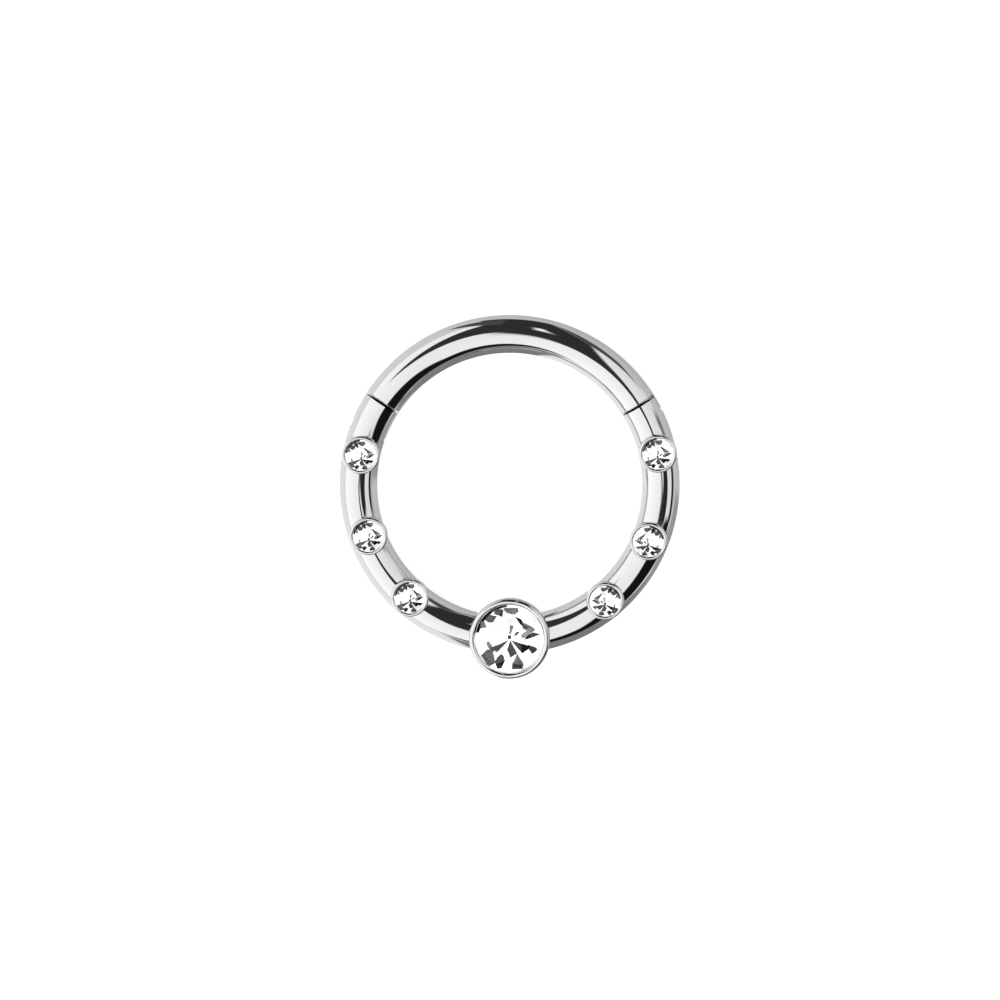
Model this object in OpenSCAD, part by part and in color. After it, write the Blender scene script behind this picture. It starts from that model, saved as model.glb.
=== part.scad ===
// Hinged segment ring of round wire, with one large and six small round stones in
// bezel cups soldered into its lower arc. The smooth upper segment swings outward on
// a pin at its left end and clicks shut at its right end.
// The ring lies on the flat backs of its cups with the stones up. +Y is the top of
// the ring as it is worn, the large stone is at -Y, and the origin is the centre of
// the ring, level with the backs of the cups.

/* [Ring] */
// Diameter of the round wire
wire_d = 1.2; // [1.15:0.05:1.25]
// Diameter of the opening inside the closed ring
opening_d = 8.4; // [8.2:0.1:9]
// Height of the wire's back above the flat backs of the cups
wire_lift = 0.03; // [0.02:0.01:0.05]

/* [Segment] */
// Place of the hinged seam, in degrees from +X towards +Y
hinge_seam = 146.5; // [145:0.5:148]
// Place of the clicking seam, in degrees from +X towards +Y
click_seam = 32.3; // [30:0.1:35]
// Width of each seam between the end faces
seam_gap = 0.04; // [0.04:0.005:0.05]
// Broken edge round each end of the segment
segment_edge = 0.02; // [0.01:0.01:0.04]

/* [Hinge] */
// Distance of the pin from the body's end face
pin_back = 0.72; // [0.7:0.01:0.74]
// Distance of the pin outward from the middle of the wire
pin_out = 0.28; // [0.27:0.01:0.3]
// Diameter of the hinge pin
pin_d = 0.28; // [0.24:0.02:0.28]
// Height of the pin's hidden front end above the middle of the wire
pin_front = 0.36; // [0.33:0.01:0.37]
// Thickness of the hinge tongue and of the click tongue
tongue_t = 0.34; // [0.34:0.02:0.42]
// Gap between a tongue and each wall of its slot
slot_gap = 0.03; // [0.02:0.01:0.04]
// Gap between the end of the hinge tongue and the floor of its slot
floor_gap = 0.06; // [0.05:0.01:0.08]
// Gap between the pin and the bore of the tongue
pin_gap = 0.02; // [0.015:0.005:0.03]
// Depth of the sloping edge round the body's hinged end, along the wire
hinge_edge_along = 0.07; // [0.07:0.01:0.09]
// Depth of the same edge, towards the middle of the wire
hinge_edge_in = 0.15; // [0.15:0.01:0.18]

/* [Click end] */
// Reach of the click tongue past the segment's end face
click_reach = 0.52; // [0.45:0.01:0.56]
// Distance of the click tongue's inner side from the middle of the wire
click_inner = 0.25; // [0.2:0.01:0.3]
// Depth of the sloping edge round the body's click end, along the wire
click_edge_along = 0.04; // [0.02:0.01:0.06]
// Depth of the same edge, towards the middle of the wire
click_edge_in = 0.08; // [0.04:0.01:0.12]

/* [Large setting] */
// Diameter of the large cup
large_cup_d = 2.56; // [2.5:0.02:2.7]
// Diameter of the large cup's flat back
large_back_d = 1.9; // [1.7:0.05:2.1]
// Height of the large cup's lip above its back
large_cup_h = 1.63; // [1.6:0.01:1.7]
// Diameter of the large stone
large_stone_d = 2.24; // [2.22:0.01:2.28]
// Diameter inside the large cup's lip
large_lip_d = 2.16; // [2.14:0.01:2.18]

/* [Small settings] */
// Diameter of a small cup
small_cup_d = 1.2; // [1.18:0.01:1.24]
// Diameter of a small cup's flat back
small_back_d = 0.9; // [0.8:0.05:1]
// Height of a small cup's lip above its back
small_cup_h = 1.45; // [1.4:0.01:1.5]
// Diameter of a small stone
small_stone_d = 1.02; // [1.01:0.01:1.04]
// Diameter inside a small cup's lip
small_lip_d = 0.97; // [0.94:0.01:0.97]
// Distance of the four lower small cups inward from the middle of the wire
low_inset = 0.08; // [0:0.01:0.1]
// Step from the large stone to the lowest one on the right, in degrees
right_low = 40; // [38:0.1:44]
// Step from the large stone to the middle one on the right, in degrees
right_mid = 68.7; // [66:0.1:74]
// Step from the large stone to the top one on the right, in degrees
right_top = 102.8; // [99:0.1:106]
// Step from the large stone to the lowest one on the left, in degrees
left_low = 41.9; // [40:0.1:46]
// Step from the large stone to the middle one on the left, in degrees
left_mid = 70.8; // [68:0.1:75]
// Step from the large stone to the top one on the left, in degrees
left_top = 102.3; // [98:0.1:102.6]

/* [Stone cut] */
// Table width as a share of the stone's diameter
table_share = 0.55; // [0.5:0.01:0.6]
// Crown height as a share of the stone's diameter
crown_share = 0.15; // [0.12:0.01:0.16]
// Girdle height as a share of the stone's diameter
girdle_share = 0.03; // [0.02:0.01:0.04]
// Pavilion depth as a share of the stone's diameter
pavilion_share = 0.43; // [0.4:0.01:0.45]
// Gap between a stone and its cup
stone_gap = 0.02; // [0.015:0.005:0.025]

/* [Hidden] */
$fn = 96;

wire_r = wire_d / 2;
mid_r = opening_d / 2 + wire_r;
wire_z = wire_r + wire_lift;
deg_per_mm = 180 / (PI * mid_r);

// End faces of the body and of the segment at the two seams
half_gap = seam_gap / 2 * deg_per_mm;
body_hinge_face = hinge_seam + half_gap;
body_click_face = click_seam - half_gap;
segment_hinge_face = hinge_seam - half_gap;
segment_click_face = click_seam + half_gap;

// The pin lies on its own radial line
pin_place = body_hinge_face + pin_back * deg_per_mm;
pin_r = pin_d / 2;
pin_seat_gap = 0.01;
// The knuckle's round reaches this far past the wire's outer side
knuckle_past = 0.01;
knuckle_r = wire_r - pin_out + knuckle_past;
// On the inner side the hinge tongue ends in a flat heel, this far before its round
heel_short = 0.02;
slot_t = tongue_t + 2 * slot_gap;

// The click tongue's end is part of a circle round a point near the seam. Its round
// is on the inner side, which goes into the slot first.
nose_out = 0.35;
nose_in_segment = 0.1;
nose_r = click_reach + nose_in_segment;

// A cutter reaches this far past what it cuts
past = 0.6;
// Length of a cutter along the wire, longer than any tongue
cut_length = 2.2;
// Height of a cutter that takes in the whole wire
cut_height = 2 * wire_d;

large_cup = [large_cup_d, large_back_d, large_cup_h, large_stone_d, large_lip_d];
small_cup = [small_cup_d, small_back_d, small_cup_h, small_stone_d, small_lip_d];
// Spot of each cup: its angle round the ring and its distance from the ring's axis
large_place = 270;
large_spot = [large_place, mid_r];
small_spots = [
    [large_place + right_low, mid_r - low_inset],
    [large_place + right_mid, mid_r - low_inset],
    [large_place + right_top, mid_r],
    [large_place - left_low, mid_r - low_inset],
    [large_place - left_mid, mid_r - low_inset],
    [large_place - left_top, mid_r]
];

steel = [0.78, 0.78, 0.8];
pin_steel = [0.66, 0.66, 0.68];
crystal = [0.93, 0.95, 0.97];

// Names of a cup's sizes
function cup_r(cup) = cup[0] / 2;
function back_r(cup) = cup[1] / 2;
function lip_top(cup) = cup[2];
function stone_r(cup) = cup[3] / 2;
function lip_r(cup) = cup[4] / 2;
function lip_w(cup) = cup_r(cup) - lip_r(cup);

// Height of the cup's outer wall that stands straight, up to the top of the lip
straight_wall = 0.4;
// Height of the lip over the stone, as a share of the lip's width
lip_share = 0.75;

// Heights in a cup: the lip's round starts at lip_mid, and its inner edge ends at
// lip_under, which holds the stone down at its girdle.
function lip_mid(cup) = lip_top(cup) - lip_w(cup) / 2;
function lip_under(cup) = lip_top(cup) - lip_share * lip_w(cup);
function bore_r(cup) = stone_r(cup) + stone_gap;

// Main facets of a stone, and sides of its girdle
mains = 8;
sides = 2 * mains;
// Half the angle between two main facets
half_facet = 180 / mains;
// A sloping gap measured straight down is wider than the gap itself by this factor
slope_factor = 1.4;
// Where the lower girdle facets end, as a share of the stone's radius
low_share = 0.3;

// Sizes of a stone, worked out from its radius
function table_r(cup) = stone_r(cup) * table_share;
function crown_h(cup) = 2 * stone_r(cup) * crown_share;
function girdle_h(cup) = 2 * stone_r(cup) * girdle_share;
function pavilion_h(cup) = 2 * stone_r(cup) * pavilion_share;
function crown_slope(cup) = crown_h(cup) / (stone_r(cup) - table_r(cup));
function pavilion_slope(cup) = pavilion_h(cup) / stone_r(cup);

// Radius of the star facets' outer corners, and how far they lie below the table
function star_r(cup) = (table_r(cup) * cos(half_facet) + stone_r(cup)) / 2;
function star_drop(cup) = (star_r(cup) * cos(half_facet) - table_r(cup)) * crown_slope(cup);

// Radius of the lower girdle facets' inner corners, and how far they lie below the
// girdle. They stand out of the cone through the girdle and the culet by low_bulge.
function low_r(cup) = stone_r(cup) * low_share;
function low_drop(cup) =
    (stone_r(cup) - low_r(cup) * cos(half_facet)) * pavilion_slope(cup);
function low_bulge(cup) = low_r(cup) * (1 - cos(half_facet)) * pavilion_slope(cup);

// Slope of the upper girdle facets, which lie under the lip
function edge_slope(cup) = (crown_h(cup) - star_drop(cup)) / (stone_r(cup) - star_r(cup));
function girdle_top(cup) =
    lip_under(cup) - slope_factor * stone_gap
        - (stone_r(cup) - lip_r(cup)) * edge_slope(cup);
function girdle_low(cup) = girdle_top(cup) - girdle_h(cup);

// Height of the cup's seat at radius r, parallel to the pavilion and below it
function seat_z(cup, r) =
    girdle_low(cup) - (stone_r(cup) - r) * pavilion_slope(cup)
        - low_bulge(cup) - slope_factor * stone_gap;

// Puts its children at a point on the middle of the wire: X outward, Y along the
// wire towards larger angles, Z up.
module on_wire(place) {
    rotate([0, 0, place]) translate([mid_r, 0, wire_z]) children();
}

// Arc of round wire between two angles
module wire_arc(from, to) {
    translate([0, 0, wire_z])
        rotate_extrude(angle = to - from, start = from)
            translate([mid_r, 0]) circle(r = wire_r);
}

// Box that is centred across the wire and reaches along Y from one place to another
module along_box(y_from, y_to, height, x_from = -past - wire_r) {
    translate([x_from, y_from, -height / 2])
        cube([past + wire_r - x_from, y_to - y_from, height]);
}

// What the sloping edge at a wire's end takes away. The end face is at Y = 0 and the
// metal lies towards +Y. The slope starts depth_in inside the wire's surface at the
// end face and meets the surface depth_along behind it. The cone that it follows runs
// on by as much at each end.
module edge_ring(depth_along, depth_in) {
    rotate([-90, 0, 0])
        translate([0, 0, -depth_along])
            difference() {
                cylinder(r = 2 * wire_r, h = 3 * depth_along);
                cylinder(
                    r1 = wire_r - 2 * depth_in,
                    r2 = wire_r + depth_in,
                    h = 3 * depth_along
                );
            }
}

// Cup with its lip and seat, turned from one outline
module cup_shape(cup) {
    rotate_extrude() {
        polygon([
            [0, 0],
            [back_r(cup), 0],
            [cup_r(cup), lip_top(cup) - straight_wall],
            [cup_r(cup), lip_mid(cup)],
            [lip_r(cup), lip_mid(cup)],
            [lip_r(cup), lip_under(cup)],
            [bore_r(cup), lip_under(cup)],
            [bore_r(cup), seat_z(cup, bore_r(cup))],
            [0, seat_z(cup, 0)]
        ]);
        translate([lip_r(cup) + lip_w(cup) / 2, lip_mid(cup)]) circle(d = lip_w(cup));
    }
}

// Space inside a cup that the wire must not fill. It ends within the cup's wall.
module cup_clearing(cup) {
    wall_mid = (cup_r(cup) + bore_r(cup)) / 2;
    rotate_extrude()
        polygon([
            [0, seat_z(cup, 0) - 2 * stone_gap],
            [wall_mid, seat_z(cup, wall_mid) - 2 * stone_gap],
            [wall_mid, lip_top(cup)],
            [0, lip_top(cup)]
        ]);
}

// Puts a cup's children at its spot on the ring, level with the backs of the cups
module at_spot(spot) {
    rotate([0, 0, spot[0]]) translate([spot[1], 0, 0]) children();
}

// Puts its children at each cup's spot, with that cup's sizes in $cup
module at_each_cup() {
    $cup = large_cup;
    at_spot(large_spot) children();
    for (spot = small_spots) {
        $cup = small_cup;
        at_spot(spot) children();
    }
}

// Points at equal steps round a circle
function ring_points(count, r, z, turn) = [
    for (i = [0:count - 1])
        let (a = turn + 360 * i / count) [r * cos(a), r * sin(a), z]
];

// Points of a round stone cut with a table, 8 star, 8 kite and 16 upper girdle
// facets above, and 16 lower girdle and 8 main facets below. The table's corners are
// at whole facet angles, and the stars' and the lower facets' corners halfway between.
function stone_points(cup) =
    let (z_table = girdle_top(cup) + crown_h(cup))
    concat(
        ring_points(mains, table_r(cup), z_table, 0),
        ring_points(mains, star_r(cup), z_table - star_drop(cup), half_facet),
        ring_points(sides, stone_r(cup), girdle_top(cup), 0),
        ring_points(sides, stone_r(cup), girdle_low(cup), 0),
        ring_points(mains, low_r(cup), girdle_low(cup) - low_drop(cup), half_facet),
        [[0, 0, girdle_low(cup) - pavilion_h(cup)]]
    );

// Indices into stone_points, in its order
function table_i(i) = i % mains;
function star_i(i) = mains + (i + mains) % mains;
function upper_i(j) = 2 * mains + j % sides;
function lower_i(j) = 2 * mains + sides + j % sides;
function low_i(i) = 2 * mains + 2 * sides + (i + mains) % mains;
culet_i = 3 * mains + 2 * sides;

every_main = [0:mains - 1];
stone_faces = concat(
    [[for (i = [mains - 1:-1:0]) table_i(i)]],
    [for (i = every_main) [table_i(i), table_i(i + 1), star_i(i)]],
    [for (i = every_main) [table_i(i), star_i(i), upper_i(2 * i), star_i(i - 1)]],
    [for (i = every_main) [star_i(i), upper_i(2 * i + 1), upper_i(2 * i)]],
    [for (i = every_main) [star_i(i), upper_i(2 * i + 2), upper_i(2 * i + 1)]],
    [for (j = [0:sides - 1]) [upper_i(j), upper_i(j + 1), lower_i(j + 1), lower_i(j)]],
    [for (i = every_main) [lower_i(2 * i), lower_i(2 * i + 1), low_i(i)]],
    [for (i = every_main) [lower_i(2 * i + 1), lower_i(2 * i + 2), low_i(i)]],
    [for (i = every_main) [lower_i(2 * i), low_i(i), culet_i, low_i(i - 1)]]
);

// Every stone is turned the same way, so it isn't rotated with its cup
module stone(cup, spot) {
    color(crystal)
        translate([spot[1] * cos(spot[0]), spot[1] * sin(spot[0]), 0])
            polyhedron(stone_points(cup), stone_faces);
}

// Slot in the body for the hinge tongue, with a flat floor behind the knuckle
module hinge_slot() {
    on_wire(pin_place) along_box(-cut_length, knuckle_r + floor_gap, slot_t);
}

// Slot in the body for the click tongue, open outward and closed inward
module click_slot() {
    on_wire(body_click_face)
        along_box(-click_reach - slot_gap, past, slot_t, -click_inner - slot_gap);
}

// Bore for the pin, through the back of the body and blind in front
module pin_space(r, z_to) {
    on_wire(pin_place)
        translate([pin_out, 0, -wire_z - past])
            cylinder(r = r, h = wire_z + past + z_to);
}

module ring_body() {
    color(steel)
        difference() {
            union() {
                difference() {
                    wire_arc(body_hinge_face, body_click_face + 360);
                    at_each_cup() cup_clearing($cup);
                    on_wire(body_hinge_face) edge_ring(hinge_edge_along, hinge_edge_in);
                    on_wire(body_click_face)
                        mirror([0, 1, 0]) edge_ring(click_edge_along, click_edge_in);
                }
                at_each_cup() cup_shape($cup);
            }
            hinge_slot();
            click_slot();
            pin_space(pin_r + pin_seat_gap, pin_front + pin_seat_gap);
        }
}

// Takes away what stands past an end face of the segment, above and below the tongue.
// The end face is at Y = 0 and the rest of the segment lies towards +Y.
module shoulder_cut() {
    difference() {
        union() {
            along_box(-cut_length, 0, cut_height);
            edge_ring(segment_edge, segment_edge);
        }
        along_box(-cut_length - past, past, tongue_t);
    }
}

// Takes away what stands past the round end and the heel of the hinge tongue
module knuckle_cut() {
    on_wire(pin_place)
        difference() {
            along_box(0, cut_length, cut_height);
            translate([pin_out, 0, 0]) cylinder(r = knuckle_r, h = cut_height, center = true);
            translate([-past - wire_r, -past, -cut_height / 2])
                cube([past + wire_r + pin_out, past + knuckle_r - heel_short, cut_height]);
        }
}

// Takes away what stands past the end and the inner side of the click tongue
module nose_cut() {
    on_wire(segment_click_face)
        difference() {
            along_box(-cut_length, 0, cut_height);
            intersection() {
                translate([nose_out, nose_in_segment, 0])
                    cylinder(r = nose_r, h = cut_height, center = true);
                along_box(-cut_length, past, cut_height, -click_inner);
            }
        }
}

module segment() {
    color(steel)
        difference() {
            wire_arc(
                segment_click_face - (click_reach + past) * deg_per_mm,
                pin_place + (knuckle_r + past) * deg_per_mm
            );
            on_wire(segment_click_face) shoulder_cut();
            on_wire(segment_hinge_face) mirror([0, 1, 0]) shoulder_cut();
            knuckle_cut();
            nose_cut();
            pin_space(pin_r + pin_gap, wire_r);
        }
}

module hinge_pin() {
    color(pin_steel)
        intersection() {
            pin_space(pin_r, pin_front);
            wire_arc(pin_place - past * deg_per_mm, pin_place + past * deg_per_mm);
        }
}

module centre_stone() { stone(large_cup, large_spot); }
module right_low_stone() { stone(small_cup, small_spots[0]); }
module right_mid_stone() { stone(small_cup, small_spots[1]); }
module right_top_stone() { stone(small_cup, small_spots[2]); }
module left_low_stone() { stone(small_cup, small_spots[3]); }
module left_mid_stone() { stone(small_cup, small_spots[4]); }
module left_top_stone() { stone(small_cup, small_spots[5]); }

ring_body();
segment();
hinge_pin();
centre_stone();
right_top_stone();
right_mid_stone();
right_low_stone();
left_low_stone();
left_mid_stone();
left_top_stone();
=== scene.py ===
"""Looks of a hinged segment ring: polished round wire, turned bezel cups and cut stones.

Pieces are modelled at their real size in millimetres, and finish_piece makes them metres.
The frame is the ring's own: +Z out of the jewelled face, +Y the top of the ring as worn.
"""

import logging
import math
from collections.abc import Callable, Iterable, Sequence
from dataclasses import dataclass, replace
from enum import Enum, IntEnum

import bpy
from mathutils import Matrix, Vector


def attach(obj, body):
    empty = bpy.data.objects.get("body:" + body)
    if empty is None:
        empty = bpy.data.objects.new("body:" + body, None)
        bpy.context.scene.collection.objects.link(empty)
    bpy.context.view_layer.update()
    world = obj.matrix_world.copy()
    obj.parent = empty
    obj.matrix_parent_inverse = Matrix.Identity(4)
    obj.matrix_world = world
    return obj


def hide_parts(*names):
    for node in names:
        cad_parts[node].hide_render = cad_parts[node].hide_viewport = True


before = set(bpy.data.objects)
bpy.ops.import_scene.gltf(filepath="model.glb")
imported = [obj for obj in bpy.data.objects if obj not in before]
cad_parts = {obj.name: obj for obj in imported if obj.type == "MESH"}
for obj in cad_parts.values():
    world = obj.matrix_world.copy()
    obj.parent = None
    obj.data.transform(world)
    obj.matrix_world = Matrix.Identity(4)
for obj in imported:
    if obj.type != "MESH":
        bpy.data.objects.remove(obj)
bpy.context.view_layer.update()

LOG = logging.getLogger("clicker_ring")
MM = 0.001
# Points of a mesh that are closer than this are one, in millimetres
TINY = 1e-5
# Edges that turn by more than this stay sharp
SHARP = math.radians(28)
# Cutters reach this far past what they cut, in millimetres
PAST = 0.6

Point = tuple[float, float, float]
Colour = tuple[float, float, float, float]
Socket = bpy.types.NodeSocket
Thing = bpy.types.Object


class Cut(Enum):
    """What becomes of a shape when a second one is combined with it."""

    ADD = "UNION"
    TAKE = "DIFFERENCE"
    KEEP = "INTERSECT"


class Body(Enum):
    """The two bodies of the ring."""

    RING = "ring"
    ARC = "arc"


class Slot(Enum):
    """The record's material slots."""

    STEEL = "polished_steel"
    PIN = "pin_steel"
    CRYSTAL = "crystal"


# Modelling steps


def pick(*things: Thing) -> None:
    """Makes objects the only selected ones, and the first of them the active one.

    Args:
        things: The objects to work on.
    """
    bpy.ops.object.select_all(action="DESELECT")
    for thing in things:
        thing.select_set(True)
    bpy.context.view_layer.objects.active = things[0]


def clear_picks() -> None:
    """Deselects every object."""
    bpy.ops.object.select_all(action="DESELECT")


def open_mesh(thing: Thing) -> None:
    """Opens an object in edit mode with all of its mesh selected."""
    pick(thing)
    bpy.ops.object.mode_set(mode="EDIT")
    bpy.ops.mesh.select_all(action="SELECT")


def close_mesh() -> None:
    """Leaves edit mode."""
    bpy.ops.object.mode_set(mode="OBJECT")


def settle(thing: Thing, name: str) -> Thing:
    """Names an object and moves its place, turn and scale into its mesh.

    Args:
        thing: The object as it was added.
        name: Its plain name.

    Returns:
        The same object, at the origin.
    """
    pick(thing)
    bpy.ops.object.transform_apply(location=True, rotation=True, scale=True)
    thing.name = name
    thing.data.name = name
    return thing


def face_outwards(thing: Thing) -> Thing:
    """Merges doubled points and turns all faces outwards.

    Args:
        thing: A closed mesh.

    Returns:
        The same object.
    """
    open_mesh(thing)
    bpy.ops.mesh.remove_doubles(threshold=TINY)
    bpy.ops.mesh.normals_make_consistent(inside=False)
    close_mesh()
    return thing


def join(things: Sequence[Thing], name: str) -> Thing:
    """Makes one object of several that don't touch.

    Args:
        things: The objects.
        name: Name of the one object.

    Returns:
        The one object.
    """
    pick(*things)
    bpy.ops.object.join()
    return settle(bpy.context.object, name)


def combine(thing: Thing, other: Thing, cut: Cut) -> Thing:
    """Adds, takes away or intersects a second shape, which is used up.

    Args:
        thing: The object that is changed.
        other: The shape that it is combined with.
        cut: What becomes of the two.

    Returns:
        The changed object.
    """
    pick(thing)
    step = thing.modifiers.new(cut.name, "BOOLEAN")
    step.operation = cut.value
    step.solver = "EXACT"
    step.object = other
    bpy.ops.object.modifier_apply(modifier=step.name)
    bpy.data.objects.remove(other)
    return thing


def turned(name: str, outline: Sequence[tuple[float, float]], sides: int) -> Thing:
    """Turns a closed solid about +Z from a disc that is extruded and scaled.

    Args:
        name: The solid's name.
        outline: Radius and height of each ring in order. A last radius of 0 closes
            the solid in a point.
        sides: Number of sides.

    Returns:
        The solid, with its faces outwards.
    """
    last_r, last_z = outline[0]
    clear_picks()
    bpy.ops.mesh.primitive_circle_add(
        vertices=sides, radius=last_r, fill_type="NGON", location=(0, 0, last_z)
    )
    solid = bpy.context.object
    bpy.ops.object.mode_set(mode="EDIT")
    for r, z in outline[1:]:
        bpy.ops.mesh.extrude_region_move(TRANSFORM_OT_translate={"value": (0, 0, z - last_z)})
        if r == 0:
            bpy.ops.mesh.merge(type="CENTER")
            break
        share = r / last_r
        bpy.ops.transform.resize(value=(share, share, 1), center_override=(0, 0, z))
        last_r, last_z = r, z
    close_mesh()
    settle(solid, name)
    return face_outwards(solid)


def bar(name: str, low: Point, high: Point) -> Thing:
    """Makes a box from its low and high corners.

    Args:
        name: The box's name.
        low: Its low corner.
        high: Its high corner.

    Returns:
        The box.
    """
    size = tuple(b - a for a, b in zip(low, high))
    middle = tuple((a + b) / 2 for a, b in zip(low, high))
    clear_picks()
    bpy.ops.mesh.primitive_cube_add(size=1, location=middle, scale=size)
    return settle(bpy.context.object, name)


def moved(thing: Thing, place: Point, turn_deg: float = 0.0) -> Thing:
    """Turns an object about +Z and then moves it.

    Args:
        thing: The object, modelled round the origin.
        place: Where its origin goes.
        turn_deg: Angle of the turn.

    Returns:
        The same object.
    """
    thing.rotation_euler = (0, 0, math.radians(turn_deg))
    thing.location = place
    return settle(thing, thing.name)


def copied(thing: Thing, name: str) -> Thing:
    """Copies an object with a mesh of its own.

    Args:
        thing: The object to copy.
        name: The copy's name.

    Returns:
        The copy.
    """
    pick(thing)
    bpy.ops.object.duplicate(linked=False)
    return settle(bpy.context.object, name)


def paint(thing: Thing, *finishes: bpy.types.Material) -> None:
    """Gives an object its finishes and shades it smooth between sharp edges.

    Args:
        thing: The object.
        finishes: Its materials in slot order.
    """
    for finish in finishes:
        thing.data.materials.append(finish)
    pick(thing)
    bpy.ops.object.shade_smooth_by_angle(angle=SHARP)


def finish_piece(thing: Thing, body: Body, slot: Slot, node: str) -> None:
    """Makes a piece metres and lets it ride on its body in place of its node.

    Args:
        thing: The finished piece, in millimetres.
        body: The body that it moves with.
        slot: The record's slot of its main finish; not used.
        node: The node that it stands for.
    """
    thing.scale = (MM, MM, MM)
    settle(thing, thing.name)
    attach(thing, body.value)
    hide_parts(node)
    LOG.info("%s: %d faces, on body %s", thing.name, len(thing.data.polygons), body.value)


# Finishes


class Tree:
    """Adds nodes to a shader tree."""

    def __init__(self, tree: bpy.types.NodeTree) -> None:
        """Keeps the tree."""
        self.tree = tree

    def add(self, kind: str, **settings: str | bool) -> bpy.types.Node:
        """Adds a node.

        Args:
            kind: The node's type without its prefix.
            settings: Its own settings.

        Returns:
            The node.
        """
        node = self.tree.nodes.new("ShaderNode" + kind)
        for setting, value in settings.items():
            setattr(node, setting, value)
        return node

    def feed(self, socket: Socket, value: Socket | float | Sequence[float]) -> None:
        """Links or sets an input.

        Args:
            socket: The input.
            value: An output to link, or a value to set.
        """
        if isinstance(value, bpy.types.NodeSocket):
            self.tree.links.new(value, socket)
        else:
            socket.default_value = value

    def number(self, operation: str, *values: Socket | float) -> Socket:
        """Works out a number.

        Args:
            operation: The Math node's operation.
            values: Its inputs.

        Returns:
            The result.
        """
        node = self.add("Math", operation=operation)
        for socket, value in zip(node.inputs, values):
            self.feed(socket, value)
        return node.outputs["Value"]

    def lerp(self, share: Socket, first: Socket | float, second: Socket | float) -> Socket:
        """Mixes two numbers.

        Args:
            share: Share of the second number.
            first: The first number.
            second: The second number.

        Returns:
            The mix.
        """
        gap = self.number("SUBTRACT", second, first)
        return self.number("MULTIPLY_ADD", share, gap, first)

    def rise(self, value: Socket, low: float, high: float, first: float = 0, last: float = 1) -> Socket:
        """Lets a number rise smoothly from one end to the other.

        Args:
            value: What is read.
            low: Reading at which the rise starts.
            high: Reading at which it ends.
            first: The number before the rise.
            last: The number after the rise.

        Returns:
            The result.
        """
        node = self.add("MapRange", interpolation_type="SMOOTHSTEP")
        for socket, number in zip(node.inputs, (value, low, high, first, last)):
            self.feed(socket, number)
        return node.outputs["Result"]

    def blend(self, share: Socket, first: Colour | Socket, second: Colour | Socket) -> Socket:
        """Mixes two colours.

        Args:
            share: Share of the second colour.
            first: The first colour.
            second: The second colour.

        Returns:
            The mix.
        """
        node = self.add("Mix", data_type="RGBA")
        self.feed(node.inputs["Factor"], share)
        for name, colour in (("A", first), ("B", second)):
            self.feed(next(s for s in node.inputs if s.name == name and s.type == "RGBA"), colour)
        return next(s for s in node.outputs if s.type == "RGBA")

    def cloud(self, scale: float, stretch: Point = (1, 1, 1), detail: float = 2.0) -> Socket:
        """Reads a cloud pattern at the object's own coordinates.

        Args:
            scale: Clouds in a metre.
            stretch: Scale along each axis.
            detail: Steps of finer detail.

        Returns:
            The pattern.
        """
        mapping = self.add("Mapping")
        self.feed(mapping.inputs["Vector"], self.add("TexCoord").outputs["Object"])
        self.feed(mapping.inputs["Scale"], stretch)
        noise = self.add("TexNoise")
        self.feed(noise.inputs["Vector"], mapping.outputs["Vector"])
        self.feed(noise.inputs["Scale"], scale)
        self.feed(noise.inputs["Detail"], detail)
        return noise.outputs["Fac"]


@dataclass(frozen=True)
class Metal:
    """Bare metal with a faint cloud in its colour and fine marks in its surface; a glow above 0 is painted
    light, a shine of its own though it is no lamp.
    """

    name: str
    dark: Colour
    light: Colour
    edge_tint: Colour
    roughness: tuple[float, float]
    cloud_scale: float
    mark_scale: float
    mark_stretch: Point
    mark_height: float
    # Strength of a painted glow: light of the metal's own colour, given off though it is no lamp
    glow: float = 0.0

    def material(self) -> bpy.types.Material:
        """Builds the material.

        Returns:
            The material.
        """
        made = bpy.data.materials.new(self.name)
        made.use_nodes = True
        tree = Tree(made.node_tree)
        shader = made.node_tree.nodes["Principled BSDF"]
        cloud = tree.cloud(self.cloud_scale, detail=3.0)
        marks = tree.cloud(self.mark_scale, self.mark_stretch)
        bump = tree.add("Bump")
        tree.feed(bump.inputs["Strength"], 1.0)
        tree.feed(bump.inputs["Distance"], self.mark_height)
        tree.feed(bump.inputs["Height"], marks)
        tree.feed(shader.inputs["Metallic"], 1.0)
        tree.feed(shader.inputs["Specular Tint"], self.edge_tint)
        tree.feed(shader.inputs["Base Color"], tree.blend(cloud, self.dark, self.light))
        tree.feed(shader.inputs["Roughness"], tree.rise(marks, 0.3, 0.7, *self.roughness))
        tree.feed(shader.inputs["Normal"], bump.outputs["Normal"])
        # Painted light: the metal glows in its light colour as strongly as glow says
        tree.feed(shader.inputs["Emission Color"], self.light)
        tree.feed(shader.inputs["Emission Strength"], self.glow)
        return made


@dataclass(frozen=True)
class Glass:
    """Clear cut glass."""

    name: str
    clear: Colour
    cool: Colour
    ior: float
    cloud_scale: float

    def material(self) -> bpy.types.Material:
        """Builds the material.

        Returns:
            The material.
        """
        made = bpy.data.materials.new(self.name)
        made.use_nodes = True
        tree = Tree(made.node_tree)
        shader = made.node_tree.nodes["Principled BSDF"]
        cloud = tree.cloud(self.cloud_scale)
        tree.feed(shader.inputs["Transmission Weight"], 1.0)
        tree.feed(shader.inputs["Roughness"], 0.0)
        tree.feed(shader.inputs["IOR"], self.ior)
        tree.feed(shader.inputs["Base Color"], tree.blend(cloud, self.clear, self.cool))
        return made


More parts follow.
